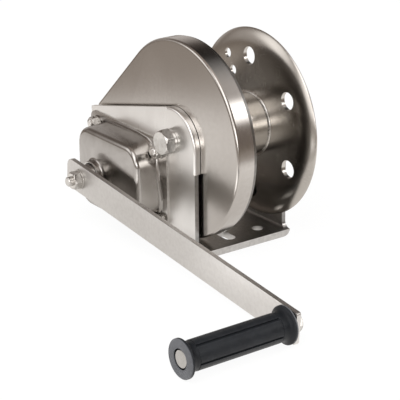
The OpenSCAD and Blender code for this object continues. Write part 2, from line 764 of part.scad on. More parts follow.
module shaft_rings() color("dimgray") for (x = ring_places)
    tube(x, x + shaft_ring_t, shaft_ring_r, shaft_groove_r + run, shaft_y, shaft_z);

module brake_flange() color(dark) difference() {
    union() {
        rod(brake_x, brake_face, brake_r, shaft_y, shaft_z);
        rod(brake_x, boss_end, boss_r, shaft_y, shaft_z);
    }
    rod(brake_x + cut, boss_end - cut, shaft_r + run, shaft_y, shaft_z);
}

module friction_discs() color("sienna") for (x = [brake_face, disc_x])
    tube(x - friction_t, x, brake_r, boss_r + run, shaft_y, shaft_z);

// Ratchet with steep faces at tooth_at and every tooth further on
module ratchet_wheel() color(dark) difference() {
    translate([0, shaft_y, shaft_z]) along_x(disc_x + run, ratchet_x - run)
        polygon([for (i = [0:ratchet_teeth - 1])
            let (a = tooth_at + i * 360 / ratchet_teeth) each [
                polar(ratchet_root, a), polar(ratchet_r, a + 0.5), polar(ratchet_r, a + 4),
                polar(ratchet_root + ratchet_depth * 0.35, a + 0.55 * 360 / ratchet_teeth)]]);
    rod(disc_x - cut, ratchet_x + cut, boss_r + run, shaft_y, shaft_z);
}

module pawl() color(bright) difference() {
    union() {
        rod(pawl_x0, pawl_x1, pawl_eye_r, pawl_y, pawl_z);
        translate([0, shaft_y, shaft_z]) along_x(pawl_x0, pawl_x1) polygon([
            polar(pawl_pivot_r - pawl_eye_r * 0.5, tooth_at - 42), polar(ratchet_r + 2, tooth_at - 24),
            polar(ratchet_root + 2.4, tooth_at - 12), polar(ratchet_root + 0.5, tooth_at - 0.9),
            polar(ratchet_r + 5, tooth_at - 0.4), polar(pawl_pivot_r + pawl_eye_r * 0.7, tooth_at - 42)]);
    }
    rod(pawl_x0 + cut, pawl_x1 - cut, pawl_pin_r + run, pawl_y, pawl_z);
}

module crank_hub() color(bright) difference() {
    union() {
        rod(pressure_x, pressure_x - pressure_t, brake_r, shaft_y, shaft_z);
        rod(pressure_x - eps, arm_in, hub_r, shaft_y, shaft_z);
        on_arm() translate([-hub_square / 2, -hub_square / 2, arm_out + pass])
            cube([hub_square, hub_square, arm_t - pass + eps]);
    }
    rod(pressure_x + cut, arm_in + 2 - run, shaft_r + run, shaft_y, shaft_z);
    rod(arm_in + 3, arm_out - cut, stud_end_r + run, shaft_y, shaft_z);
}

module crank_arm() color(bright) difference() {
    on_arm() translate([0, 0, arm_out]) linear_extrude(arm_t) difference() {
        union() {
            translate([-arm_tail, -arm_w / 2]) round_rect(arm_tail + arm_len / 2, arm_w, 9);
            translate([0, -arm_w / 2]) round_rect(arm_len + arm_nose, arm_w, 2.5);
        }
        square(hub_square + 2 * run, center = true);
    }
    rod(arm_out - cut, arm_in + cut, grip_pin_r + run, pin_y, pin_z);
}

module crank_washer() color(bright)
    tube(crank_seat_x, arm_out, crank_washer_r, stud_end_r + run, shaft_y, shaft_z);

module crank_nut() color(bright)
    nut(crank_seat_x, crank_seat_x - crank_nut_t, crank_flats, stud_end_r + run, shaft_y, shaft_z);

module grip_pin() color(bright) {
    rod(arm_in + grip_nut_t + 2, pin_head_x + pin_head_t - cut, grip_pin_r, pin_y, pin_z);
    soft_disc(pin_y, pin_z, grip_head_r, pin_head_x, pin_head_x + pin_head_t, 1);
}

module grip_nut() color(bright)
    nut(arm_in, arm_in + grip_nut_t, grip_nut_flats, grip_pin_r + run, pin_y, pin_z);

module grip_washer() color(bright)
    tube(grip_x0 + run, arm_out, grip_pin_r + 4, grip_pin_r + run, pin_y, pin_z);

module grip_sleeve() color(steel)
    tube(grip_x0, grip_x1 + recess, grip_sleeve_r, grip_pin_r + run, pin_y, pin_z);

module hand_grip() color([0.18, 0.19, 0.21]) {
    lip = grip_flange_r - 0.8;
    flare = [[0, lip], [0.8, grip_flange_r], [3, grip_flange_r], [3.8, lip], [4.4, grip_core_r + 3.4],
        [5.4, grip_core_r + 2.2], [7, grip_core_r + 1.4], [9, grip_core_r + 1]];
    turned([for (p = concat([[0, grip_sleeve_r + eps]], flare,
        [[panel_start, grip_core_r + 1], [panel_start + 2, grip_core_r], [panel_end - 2, grip_core_r],
        [panel_end, grip_core_r + 1]], [for (i = [7:-1:0]) [grip_len - flare[i][0], flare[i][1]]], [
        [grip_len, recess_r], [grip_len - recess, recess_r],
        [grip_len - recess, grip_sleeve_r + eps]])) [grip_x0 - p[0], p[1]]],
        pin_y, pin_z);
    for (i = [0:grip_panels - 1])
        translate([0, pin_y, pin_z]) rotate([panel_at - panel_angle / 2 + i * 360 / grip_panels, 0, 0])
            rotate([0, 90, 0]) rotate_extrude(angle = panel_angle) polygon([
                [grip_core_r - 1, grip_x0 - panel_end], [grip_core_r, grip_x0 - panel_end],
                [grip_r, grip_x0 - panel_end + 1.5], [grip_r, grip_x0 - panel_start - 1.5],
                [grip_core_r, grip_x0 - panel_start], [grip_core_r - 1, grip_x0 - panel_start]]);
}

frame();
gear_cover();
brake_cover();
cover_studs();
cover_spacers();
cover_washers();
cover_nuts();
axle_bolt();
axle_washers();
axle_nut();
axle_sleeve();
drum_spacers();
shaft_bush_near();
shaft_bush_far();
thrust_washer();
pawl_pin();
pawl_pin_ring();
pawl_spring();
drum_barrel();
drum_flange_inner();
drum_flange_outer();
drum_gear();
gear_rivets();
drum_bushes();
crank_shaft();
pinion();
pinion_key();
pinion_spacer();
shaft_rings();
brake_flange();
friction_discs();
crank_hub();
crank_arm();
crank_washer();
crank_nut();
grip_pin();
grip_nut();
grip_washer();
ratchet_wheel();
pawl();
hand_grip();
grip_sleeve();
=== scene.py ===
# Hand winch: the finish of every piece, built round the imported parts.
# Metres. X runs along the drum's axis with the crank at -X, Y along the base, Z up.
import json
import math

import bpy
from mathutils import Matrix, Vector


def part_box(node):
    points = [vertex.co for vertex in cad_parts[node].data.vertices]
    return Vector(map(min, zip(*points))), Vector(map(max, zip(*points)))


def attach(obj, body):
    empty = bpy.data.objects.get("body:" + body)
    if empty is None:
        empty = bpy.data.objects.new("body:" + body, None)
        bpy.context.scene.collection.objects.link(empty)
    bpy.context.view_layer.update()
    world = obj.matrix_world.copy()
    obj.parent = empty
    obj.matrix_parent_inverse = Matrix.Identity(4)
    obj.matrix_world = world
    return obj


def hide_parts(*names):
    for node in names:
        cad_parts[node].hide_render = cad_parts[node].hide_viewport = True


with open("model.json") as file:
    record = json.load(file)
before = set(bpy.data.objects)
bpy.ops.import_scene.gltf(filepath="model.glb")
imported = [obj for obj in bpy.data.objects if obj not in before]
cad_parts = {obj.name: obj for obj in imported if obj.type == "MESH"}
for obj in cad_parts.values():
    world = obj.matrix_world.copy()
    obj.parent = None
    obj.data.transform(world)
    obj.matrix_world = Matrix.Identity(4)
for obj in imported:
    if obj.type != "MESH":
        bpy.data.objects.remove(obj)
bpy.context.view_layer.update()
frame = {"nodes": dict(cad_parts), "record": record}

scene = bpy.context.scene
bodyOf = {node: body for body, nodes in frame["record"]["behaviour"]["bodies"].items() for node in nodes}
slotOf = {part["node"]: part["material_slot"] for part in frame["record"]["subparts"]}
mm = 0.001
print("packed parts:", len(bodyOf))


# Small helpers for modelling

def selectOnly(piece):
    if bpy.context.object and bpy.context.object.mode != 'OBJECT':
        bpy.ops.object.mode_set(mode='OBJECT')
    bpy.ops.object.select_all(action='DESELECT')
    piece.select_set(True)
    bpy.context.view_layer.objects.active = piece


def editOn(piece, kind='EDGE'):
    selectOnly(piece)
    bpy.ops.object.mode_set(mode='EDIT')
    bpy.ops.mesh.select_mode(type=kind)
    bpy.ops.mesh.select_all(action='DESELECT')


def editOff():
    bpy.ops.object.mode_set(mode='OBJECT')


# Selects the vertices, edges or faces of the piece in edit mode that pass the test
def pick(piece, kind, test):
    editOff()
    mesh = piece.data
    for face in mesh.polygons:
        face.select = False
    for edge in mesh.edges:
        edge.select = False
    for vertex in mesh.vertices:
        vertex.select = False
    found = {'VERT': mesh.vertices, 'EDGE': mesh.edges, 'FACE': mesh.polygons}[kind]
    for item in found:
        if test(item):
            item.select = True
    bpy.ops.object.mode_set(mode='EDIT')
    bpy.ops.mesh.select_mode(type=kind)


# Selects the edges whose two ends both pass the test of a place
def pickEdges(piece, test):
    pick(piece, 'EDGE', lambda edge: all(test(piece.data.vertices[end].co) for end in edge.vertices))


def placed(name):
    piece = bpy.context.object
    bpy.ops.object.transform_apply(location=True, rotation=True, scale=True)
    piece.name = name
    piece.data.name = name
    return piece


def joined(pieces, name):
    bpy.ops.object.select_all(action='DESELECT')
    for piece in pieces:
        piece.select_set(True)
    bpy.context.view_layer.objects.active = pieces[0]
    bpy.ops.object.join()
    pieces[0].name = name
    pieces[0].data.name = name
    return pieces[0]


# A cylinder along X from x0 to x1
def rod(x0, x1, radius, y, z, sides=96):
    bpy.ops.mesh.primitive_cylinder_add(vertices=sides, radius=radius, depth=abs(x1 - x0),
                                        location=((x0 + x1) / 2, y, z), rotation=(0, math.pi / 2, 0))
    return placed("rod")


# Draws the selected ring along X through (x, radius) points in millimetres
def drawnOut(axis, lastX, lastRadius, profile):
    for x, radius in profile:
        bpy.ops.mesh.extrude_region_move(TRANSFORM_OT_translate={"value": ((x - lastX) * mm, 0, 0)})
        share = radius / lastRadius
        bpy.ops.transform.resize(value=(1, share, share), center_override=(0, *axis))
        lastX, lastRadius = x, radius


# A closed ring about an axis along X from (x, radius) points in millimetres, counted from start
def lathed(name, start, axis, profile, sides):
    firstX, firstRadius = profile[0]
    bpy.ops.mesh.primitive_circle_add(vertices=sides, radius=firstRadius * mm,
                                      location=(start + firstX * mm, *axis), rotation=(0, math.pi / 2, 0))
    ring = placed(name)
    editOn(ring)
    bpy.ops.mesh.select_all(action='SELECT')
    drawnOut(axis, firstX, firstRadius, profile[1:] + profile[:1])
    outwards(ring)
    return ring


def applied(piece, kind, **values):
    selectOnly(piece)
    modifier = piece.modifiers.new(kind.lower(), kind)
    for key, value in values.items():
        setattr(modifier, key, value)
    bpy.ops.object.modifier_apply(modifier=modifier.name)


def cutBy(piece, cutters):
    tool = joined(cutters, "cutter")
    applied(piece, 'BOOLEAN', operation='DIFFERENCE', solver='EXACT', object=tool)
    bpy.data.objects.remove(tool)


# Smooth shading that keeps the flats flat
def shaded(piece):
    selectOnly(piece)
    bpy.ops.object.shade_smooth_by_angle(angle=math.radians(30))
    applied(piece, 'WEIGHTED_NORMAL', mode='FACE_AREA_WITH_ANGLE', keep_sharp=True)


# Rounds the sharp edges in two steps
def eased(piece, width):
    applied(piece, 'BEVEL', width=width, segments=2, limit_method='ANGLE', angle_limit=math.radians(35),
            use_clamp_overlap=True, miter_outer='MITER_ARC')
    shaded(piece)


# Merges points that coincide and turns all faces outwards
def outwards(piece, merge=0.004 * mm):
    editOn(piece)
    bpy.ops.mesh.select_all(action='SELECT')
    bpy.ops.mesh.remove_doubles(threshold=merge)
    bpy.ops.mesh.normals_make_consistent(inside=False)
    editOff()


# Joins the slivers that cuts leave and closes the cracks between them
def cleaned(piece):
    outwards(piece, 0.01 * mm)
    editOn(piece)
    bpy.ops.mesh.select_all(action='SELECT')
    bpy.ops.mesh.fill_holes(sides=4)
    editOff()


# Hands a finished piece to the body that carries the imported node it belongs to
def added(piece, node, finish):
    piece.data.materials.clear()
    piece.data.materials.append(finish)
    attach(piece, bodyOf[node])


# The same for a piece that stands for the node
def fitted(piece, node, finish):
    added(piece, node, finish)
    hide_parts(node)


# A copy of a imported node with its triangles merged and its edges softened
def easedCopy(node, width, finish):
    piece = bpy.data.objects.new(node + "_eased", frame["nodes"][node].data.copy())
    scene.collection.objects.link(piece)
    editOn(piece)
    bpy.ops.mesh.customdata_custom_splitnormals_clear()
    bpy.ops.mesh.select_all(action='SELECT')
    bpy.ops.mesh.remove_doubles(threshold=0.002 * mm)
    bpy.ops.mesh.dissolve_limited(angle_limit=math.radians(0.6))
    editOff()
    eased(piece, width)
    fitted(piece, node, finish)


# Shader groups that more than one finish uses

def newGroup(name, inputs, outputs):
    group = bpy.data.node_groups.new(name, 'ShaderNodeTree')
    for label, kind, value in inputs:
        socket = group.interface.new_socket(name=label, in_out='INPUT', socket_type=kind)
        if value is not None:
            socket.default_value = value
    for label, kind in outputs:
        group.interface.new_socket(name=label, in_out='OUTPUT', socket_type=kind)
    return group, group.nodes.new('NodeGroupInput'), group.nodes.new('NodeGroupOutput')


# A node with its settings and the values of its sockets
def put(tree, kind, **values):
    node = tree.nodes.new(kind)
    for key, value in values.items():
        if hasattr(node, key) and key not in node.inputs:
            setattr(node, key, value)
        else:
            node.inputs[key].default_value = value
    return node


# Arithmetic on two values, each a number or a socket
def math2(tree, operation, first, second, clamp=False):
    node = put(tree, 'ShaderNodeMath', operation=operation, use_clamp=clamp)
    for index, value in enumerate((first, second)):
        if isinstance(value, (int, float)):
            node.inputs[index].default_value = value
        else:
            tree.links.new(value, node.inputs[index])
    return node.outputs[0]


def times(tree, first, second):
    return math2(tree, 'MULTIPLY', first, second)


def plus(tree, first, second):
    return math2(tree, 'ADD', first, second)


# The X, Y and Z of a vector
def axes(tree, vector):
    node = tree.nodes.new('ShaderNodeSeparateXYZ')
    tree.links.new(vector, node.inputs[0])
    return node.outputs


def stretched(tree, vector, scale, rotation=(0, 0, 0)):
    node = tree.nodes.new('ShaderNodeMapping')
    node.inputs['Scale'].default_value = scale
    node.inputs['Rotation'].default_value = rotation
    tree.links.new(vector, node.inputs['Vector'])
    return node.outputs[0]


def noise(tree, vector, scale, detail=3.0, rough=0.5):
    node = put(tree, 'ShaderNodeTexNoise', Detail=detail, Roughness=rough)
    tree.links.new(vector, node.inputs['Vector'])
    if isinstance(scale, float):
        node.inputs['Scale'].default_value = scale
    else:
        tree.links.new(scale, node.inputs['Scale'])
    return node.outputs['Fac']


# Tones or colours by value, from (place, tone) stops
def ramp(tree, value, stops):
    node = tree.nodes.new('ShaderNodeValToRGB')
    while len(node.color_ramp.elements) < len(stops):
        node.color_ramp.elements.new(0.5)
    for element, (place, tone) in zip(node.color_ramp.elements, stops):
        element.position = place
        element.color = (tone, tone, tone, 1) if isinstance(tone, (int, float)) else (*tone, 1)
    tree.links.new(value, node.inputs[0])
    return node.outputs[0]


def blended(tree, factor, first, second, kind='MIX'):
    node = put(tree, 'ShaderNodeMix', data_type='RGBA', blend_type=kind)
    for socket, value in ((node.inputs[0], factor), (node.inputs[6], first), (node.inputs[7], second)):
        if isinstance(value, (int, float)):
            socket.default_value = value
        elif isinstance(value, tuple):
            socket.default_value = (*value, 1)
        else:
            tree.links.new(value, socket)
    return node.outputs[2]


# Fine lines left by a belt or a tool: the vector comes in already stretched along them
def makeGrainGroup():
    share = {"fine": 0.6, "broad": 0.4, "broadScale": 0.13, "middle": 0.5}
    group, enter, leave = newGroup("toolGrain", [
        ("Vector", 'NodeSocketVector', None), ("Roughness", 'NodeSocketFloat', 0.3),
        ("Variation", 'NodeSocketFloat', 0.1), ("Scale", 'NodeSocketFloat', 900.0)],
        [("Roughness", 'NodeSocketFloat'), ("Height", 'NodeSocketFloat')])
    vector, scale = enter.outputs['Vector'], enter.outputs['Scale']
    fine = noise(group, vector, scale, 4.0, 0.65)
    broad = noise(group, vector, times(group, scale, share["broadScale"]), 2.0, 0.5)
    both = plus(group, times(group, fine, share["fine"]), times(group, broad, share["broad"]))
    fromMiddle = math2(group, 'SUBTRACT', both, share["middle"])
    swing = times(group, times(group, fromMiddle, enter.outputs['Variation']), 2.0)
    group.links.new(plus(group, swing, enter.outputs['Roughness']), leave.inputs['Roughness'])
    group.links.new(both, leave.inputs['Height'])
    return group


# Slow drifts of tone, as handling and polishing leave on bare metal
def makeToneGroup():
    group, enter, leave = newGroup("sheetTone", [
        ("Vector", 'NodeSocketVector', None), ("Light", 'NodeSocketColor', (0.7, 0.7, 0.7, 1)),
        ("Dark", 'NodeSocketColor', (0.5, 0.5, 0.5, 1)), ("Scale", 'NodeSocketFloat', 12.0),
        ("Smudge", 'NodeSocketFloat', 0.3)],
        [("Color", 'NodeSocketColor'), ("Smudge", 'NodeSocketFloat')])
    look = {"distortion": 0.4, "drift": [(0.32, 0.0), (0.68, 1.0)], "spotScale": 3.7,
            "spots": [(0.5, 0.0), (0.75, 1.0)], "spotTone": 0.5}
    vector, scale = enter.outputs['Vector'], enter.outputs['Scale']
    slow = put(group, 'ShaderNodeTexNoise', Detail=3.0, Roughness=0.55, Distortion=look["distortion"])
    group.links.new(vector, slow.inputs['Vector'])
    group.links.new(scale, slow.inputs['Scale'])
    tone = ramp(group, slow.outputs['Fac'], look["drift"])
    spots = noise(group, vector, times(group, scale, look["spotScale"]), 5.0, 0.7)
    smudge = times(group, ramp(group, spots, look["spots"]), enter.outputs['Smudge'])
    drifting = blended(group, tone, enter.outputs['Dark'], enter.outputs['Light'])
    soiled = blended(group, times(group, smudge, look["spotTone"]), drifting, enter.outputs['Dark'])
    group.links.new(soiled, leave.inputs['Color'])
    group.links.new(smudge, leave.inputs['Smudge'])
    return group


# Brighter metal where edges are rubbed, from how convex the surface is
def makeWearGroup():
    group, enter, leave = newGroup("rubbedEdges", [
        ("Color", 'NodeSocketColor', (0.5, 0.5, 0.5, 1)),
        ("Rubbed", 'NodeSocketColor', (0.8, 0.8, 0.8, 1)),
        ("Amount", 'NodeSocketFloat', 0.5), ("Vector", 'NodeSocketVector', None)],
        [("Color", 'NodeSocketColor')])
    look = {"convex": [(0.505, 0.0), (0.56, 1.0)],
            "breakScale": 260.0, "breaks": [(0.3, 0.35), (0.6, 1.0)]}
    shape = group.nodes.new('ShaderNodeNewGeometry')
    convex = ramp(group, shape.outputs['Pointiness'], look["convex"])
    broken = noise(group, enter.outputs['Vector'], look["breakScale"], 4.0, 0.6)
    breaks = ramp(group, broken, look["breaks"])
    mask = math2(group, 'MULTIPLY', times(group, convex, breaks), enter.outputs['Amount'], clamp=True)
    worn = blended(group, mask, enter.outputs['Color'], enter.outputs['Rubbed'])
    group.links.new(worn, leave.inputs['Color'])
    return group


# Fine scratches in two directions
def makeScratchGroup():
    group, enter, leave = newGroup("hairScratches", [
        ("Vector", 'NodeSocketVector', None), ("Scale", 'NodeSocketFloat', 60.0)],
        [("Mask", 'NodeSocketFloat')])
    look = {"lines": [((0.5, 0.3, 0.3), (1.0, 1.0, 14.0)), ((-0.9, -0.54, 0.3), (1.0, 12.0, 1.0))],
            "thin": [(0.495, 0.0), (0.5, 1.0), (0.505, 0.0)],
            "gapScale": 40.0, "gaps": [(0.5, 0.0), (0.62, 1.0)]}
    vector = enter.outputs['Vector']
    lines = []
    for turn, stretch in look["lines"]:
        field = noise(group, stretched(group, vector, stretch, turn), enter.outputs['Scale'], 1.0, 0.4)
        lines.append(ramp(group, field, look["thin"]))
    gaps = ramp(group, noise(group, vector, look["gapScale"], 2.0), look["gaps"])
    group.links.new(times(group, math2(group, 'MAXIMUM', *lines), gaps), leave.inputs['Mask'])
    return group


grainGroup = makeGrainGroup()
toneGroup = makeToneGroup()
wearGroup = makeWearGroup()
scratchGroup = makeScratchGroup()


def grouped(tree, group, **values):
    node = put(tree, 'ShaderNodeGroup', node_tree=group)
    for key, value in values.items():
        if isinstance(value, bpy.types.NodeSocket):
            tree.links.new(value, node.inputs[key])
        else:
            node.inputs[key].default_value = (*value, 1) if isinstance(value, tuple) else value
    return node


# Coordinates of X, radius and angle about an axis along X, for lines that a lathe leaves
def turnedAbout(tree, place, axis):
    angleScale = 0.03
    shift = put(tree, 'ShaderNodeVectorMath', operation='SUBTRACT')
    tree.links.new(place, shift.inputs[0])
    shift.inputs[1].default_value = (0, *axis)
    x, y, z = axes(tree, shift.outputs[0])
    across = plus(tree, times(tree, y, y), times(tree, z, z))
    merge = tree.nodes.new('ShaderNodeCombineXYZ')
    tree.links.new(x, merge.inputs[0])
    tree.links.new(math2(tree, 'SQRT', across, 0.0), merge.inputs[1])
    tree.links.new(times(tree, math2(tree, 'ARCTAN2', z, y), angleScale), merge.inputs[2])
    return merge.outputs[0]


# A material with its shader and the place in the piece's own coordinates
def newFinish(name):
    finish = bpy.data.materials.new(name)
    finish.use_nodes = True
    tree = finish.node_tree
    place = tree.nodes.new('ShaderNodeTexCoord').outputs['Object']
    return finish, tree, tree.nodes['Principled BSDF'], place


def bumped(tree, shader, height, strength, depth):
    bump = put(tree, 'ShaderNodeBump', Strength=strength, Distance=depth)
    tree.links.new(height, bump.inputs['Height'])
    tree.links.new(bump.outputs[0], shader.inputs['Normal'])
    return bump


# The darker areas that a finish names, multiplied into its colour: painted shade on the sides of bolt
# heads and on the walls' edges, and a plate darker towards the bottom
def paintedShadeAndDarkening(tree, colour, place, look):
    fades = {"flats": (0.15, 0.75), "cut": (0.85, 0.95), "span": 0.2, "cutFoot": 0.01, "cutTop": 0.002}

    def height(span):
        return math2(tree, 'DIVIDE', axes(tree, place)[2], span)

    def toward(axis):
        normal = tree.nodes.new('ShaderNodeNewGeometry').outputs['Normal']
        return math2(tree, 'ABSOLUTE', axes(tree, normal)[axis], 0.0)

    darkenings = []
    if "foot" in look:      # darker towards the bottom: height below which it is darkest, height where it ends, light left
        low, high, left = look["foot"]
        darkenings.append(ramp(tree, height(high), [(low / high, left), (1.0, 1.0)]))
    if "flats" in look:     # painted shade on the sides of a bolt head, darker than its face by which way they face: light left
        side, face = fades["flats"]
        darkenings.append(ramp(tree, toward(0), [(side, look["flats"]), (face, 1.0)]))
    if "shadedEdge" in look:   # painted shade on the walls' edges that look along Y: lowest and highest place, light left
        low, high, left = look["shadedEdge"]
        span, (side, face) = fades["span"], fades["cut"]
        low, high = low / span, high / span
        here = ramp(tree, height(span), [
            (low, 0.0), (low + fades["cutFoot"], 1.0), (high - fades["cutTop"], 1.0), (high, 0.0)])
        cut = times(tree, here, ramp(tree, toward(1), [(side, 0.0), (face, 1.0)]))
        darkenings.append(ramp(tree, cut, [(0.0, 1.0), (1.0, left)]))
    for darkening in darkenings:
        colour = blended(tree, 1.0, colour, darkening, 'MULTIPLY')
    return colour


# Normals of a drawn face that swells a little: its middle in Y and Z, and the swell's radius
def crowned(tree, place, crown):
    midY, midZ, radius = crown
    along = axes(tree, place)
    fromY, fromZ = math2(tree, 'SUBTRACT', along[1], midY), math2(tree, 'SUBTRACT', along[2], midZ)
    away = plus(tree, times(tree, fromY, fromY), times(tree, fromZ, fromZ))
    swell = put(tree, 'ShaderNodeBump', Strength=1.0, Distance=1.0)
    tree.links.new(math2(tree, 'DIVIDE', away, -2 * radius), swell.inputs['Height'])
    return swell.outputs[0]


metalPlain = {"grain": (1, 1, 1), "grainScale": 900.0, "variation": 0.1, "toneScale": 14.0, "smudge": 0.3,
              "smudgeRoughness": 0.14, "scratchScale": 55.0, "scratch": 0.12, "scratchDepth": 0.6,
              "wear": 0.4, "rubbed": (0.86, 0.85, 0.83), "bump": 0.12, "depth": 0.00004}


# Bare metal with grain, drifts of tone, smudges, scratches, rubbed edges, and the painted shade and
# darkening that the finish names
def metal(name, special):
    look = {**metalPlain, **special}
    finish, tree, shader, place = newFinish(name)
    shader.inputs['Metallic'].default_value = 1.0
    along = turnedAbout(tree, place, look["turned"]) if "turned" in look else place
    grain = grouped(tree, grainGroup, Vector=stretched(tree, along, look["grain"]),
                    Roughness=look["roughness"], Variation=look["variation"], Scale=look["grainScale"])
    tone = grouped(tree, toneGroup, Vector=place, Light=look["light"], Dark=look["dark"],
                   Scale=look["toneScale"], Smudge=look["smudge"])
    scratches = grouped(tree, scratchGroup, Vector=place, Scale=look["scratchScale"]).outputs['Mask']
    wear = grouped(tree, wearGroup, Color=paintedShadeAndDarkening(tree, tone.outputs['Color'], place, look),
                   Rubbed=look["rubbed"], Amount=look["wear"], Vector=place)
    tree.links.new(wear.outputs['Color'], shader.inputs['Base Color'])
    smudges = times(tree, tone.outputs['Smudge'], look["smudgeRoughness"])
    smudged = plus(tree, grain.outputs['Roughness'], smudges)
    rough = math2(tree, 'ADD', smudged, times(tree, scratches, look["scratch"]), clamp=True)
    tree.links.new(rough, shader.inputs['Roughness'])
    grooves = times(tree, scratches, look["scratchDepth"])
    height = math2(tree, 'SUBTRACT', grain.outputs['Height'], grooves)
    bump = bumped(tree, shader, height, look["bump"], look["depth"])
    if "crown" in look:
        tree.links.new(crowned(tree, place, look["crown"]), bump.inputs['Normal'])
    return finish


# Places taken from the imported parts
def middle(node):
    low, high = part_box(node)
    return (low + high) / 2


axle = middle("drum_barrel")
shaft = middle("crank_washer")
gripAxis = middle("grip_pin")
drumAxis = (axle.y, axle.z)
shaftAxis = (shaft.y, shaft.z)
gripLine = (gripAxis.y, gripAxis.z)
vertical = (1.0, 1.0, 0.03)
circular = (1.0, 1.0, 0.04)
lengthwise = (0.03, 1.0, 1.0)
alongBase = (1.0, 0.04, 1.0)

metals = {
    "satinCover": {
        "light": (0.545, 0.515, 0.485), "dark": (0.49, 0.46, 0.43), "roughness": 0.20, "variation": 0.05,
        "grain": vertical, "grainScale": 700.0, "bump": 0.05, "toneScale": 9.0, "smudge": 0.2,
        "wear": 0.3, "scratch": 0.06},
    "drawnCover": {
        "light": (0.47, 0.45, 0.43), "dark": (0.32, 0.30, 0.28), "roughness": 0.17, "variation": 0.12,
        "grain": lengthwise, "grainScale": 260.0, "bump": 0.2, "toneScale": 18.0, "smudge": 0.4,
        "wear": 0.3, "crown": (0.020, 0.068, 0.5)},
    "brushedPlate": {
        "light": (0.92, 0.905, 0.885), "dark": (0.86, 0.84, 0.815), "roughness": 0.30, "variation": 0.10,
        "grain": vertical, "grainScale": 620.0, "bump": 0.08, "toneScale": 11.0, "smudge": 0.15,
        # foot: the plate darker towards the bottom
        # shadedEdge: painted shade on the walls' edges that look along Y
        "wear": 0.6, "foot": (0.006, 0.03, 0.50), "shadedEdge": (0.008, 0.0874, 0.30)},
    "polishedDrum": {
        "light": (0.57, 0.54, 0.50), "dark": (0.46, 0.43, 0.395), "roughness": 0.23, "variation": 0.05,
        "turned": drumAxis, "grain": circular, "grainScale": 800.0, "bump": 0.05, "toneScale": 12.0,
        "smudge": 0.2, "wear": 0.2, "scratch": 0.12},
    # A far darker copy of the drum's steel: painted shade on the inner flange
    "shadedInnerDisc": {
        "light": (0.20, 0.19, 0.175), "dark": (0.12, 0.11, 0.10), "roughness": 0.32, "variation": 0.08,
        "turned": drumAxis, "grain": circular, "grainScale": 800.0, "bump": 0.08, "toneScale": 14.0,
        "smudge": 0.4, "wear": 0.3},
    "weldBead": {
        "light": (0.70, 0.68, 0.65), "dark": (0.42, 0.38, 0.33), "roughness": 0.26, "variation": 0.12,
        "turned": drumAxis, "grain": (1, 1, 1.4), "grainScale": 620.0, "bump": 0.35, "depth": 0.00012,
        "toneScale": 70.0, "smudge": 0.5, "wear": 0.4},
    "flatBar": {
        "light": (0.64, 0.62, 0.60), "dark": (0.59, 0.57, 0.55), "roughness": 0.42, "variation": 0.08,
        "grain": alongBase, "grainScale": 640.0, "bump": 0.10, "toneScale": 12.0, "smudge": 0.15,
        "wear": 0.5},
    "turnedSteel": {
        "light": (0.62, 0.60, 0.575), "dark": (0.50, 0.48, 0.455), "roughness": 0.24, "variation": 0.12,
        "turned": shaftAxis, "grain": circular, "grainScale": 1000.0, "bump": 0.16, "wear": 0.4},
    "boltSteel": {
        "light": (0.66, 0.635, 0.605), "dark": (0.52, 0.495, 0.465), "roughness": 0.19, "variation": 0.10,
        # flats: painted shade on the sides of the bolt heads and nuts
        "grainScale": 300.0, "bump": 0.10, "toneScale": 90.0, "smudge": 0.4, "wear": 0.5, "flats": 0.7},
    "forgedBolt": {
        "light": (0.60, 0.58, 0.55), "dark": (0.36, 0.34, 0.31), "roughness": 0.22, "variation": 0.12,
        # flats: painted shade on the sides of the axle bolt's head
        "grainScale": 260.0, "bump": 0.14, "toneScale": 70.0, "smudge": 0.5, "wear": 0.7, "flats": 0.40},
    "pinSteel": {
        "light": (0.46, 0.445, 0.425), "dark": (0.36, 0.345, 0.325), "roughness": 0.30, "variation": 0.12,
        "turned": gripLine, "grain": circular, "grainScale": 1400.0, "bump": 0.3, "wear": 0.4},
    "gearSteel": {
        "light": (0.34, 0.335, 0.33), "dark": (0.17, 0.165, 0.155), "roughness": 0.34, "variation": 0.2,
        "turned": drumAxis, "grain": (0.05, 1, 1), "grainScale": 700.0, "bump": 0.3, "toneScale": 30.0,
        "smudge": 0.8, "wear": 0.9, "rubbed": (0.6, 0.59, 0.57)},
    "bushBronze": {
        "light": (0.62, 0.44, 0.22), "dark": (0.42, 0.28, 0.13), "roughness": 0.38, "variation": 0.15,
        "turned": shaftAxis, "grain": circular, "grainScale": 900.0, "bump": 0.2, "toneScale": 60.0,
        "smudge": 0.5, "wear": 0.3, "rubbed": (0.8, 0.62, 0.36)},
    "springWire": {
        "light": (0.36, 0.355, 0.35), "dark": (0.2, 0.195, 0.19), "roughness": 0.3, "variation": 0.1,
        "grainScale": 600.0, "bump": 0.1, "toneScale": 120.0, "wear": 0.3},
}
finishes = {name: metal(name, special) for name, special in metals.items()}
print("metal finishes:", len(finishes))
